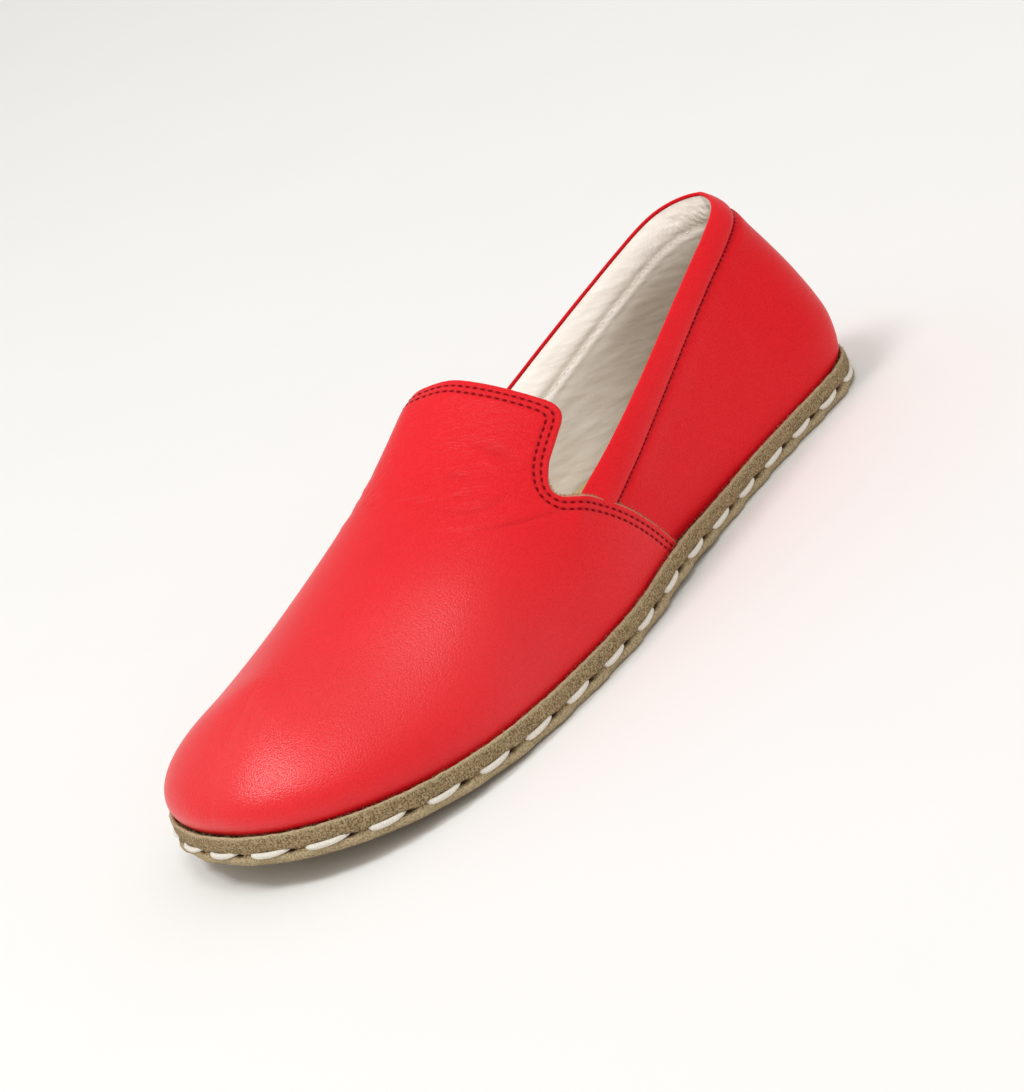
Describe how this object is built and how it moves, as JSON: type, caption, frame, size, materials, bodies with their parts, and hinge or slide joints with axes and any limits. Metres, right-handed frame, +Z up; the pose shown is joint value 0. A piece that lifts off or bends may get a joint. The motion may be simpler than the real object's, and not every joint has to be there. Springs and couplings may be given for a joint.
{
  "type": "loafer",
  "caption": "Left slip-on leather loafer with a tongued vamp, a bound collar and a flat leather sole with a thread groove round its edge.",
  "frame": {"origin": "middle of the bounding box at the floor", "axes": "+X towards the toe, +Y towards the lateral side, which is the wearer's left, +Z up"},
  "size_m": [0.2702, 0.095, 0.0731],
  "materials": {
    "upper_leather": "soft full-grain leather dyed red, satin",
    "sole_leather": "natural buffalo-brown sole leather with a raw, napped edge",
    "insole_leather": "undyed vegetable-tanned leather, matt"
  },
  "bodies": {
    "root": {"outsole": "sole_leather", "insole": "insole_leather", "upper": "upper_leather", "vamp": "upper_leather", "collar_binding": "upper_leather"}
  },
  "joints": []
}
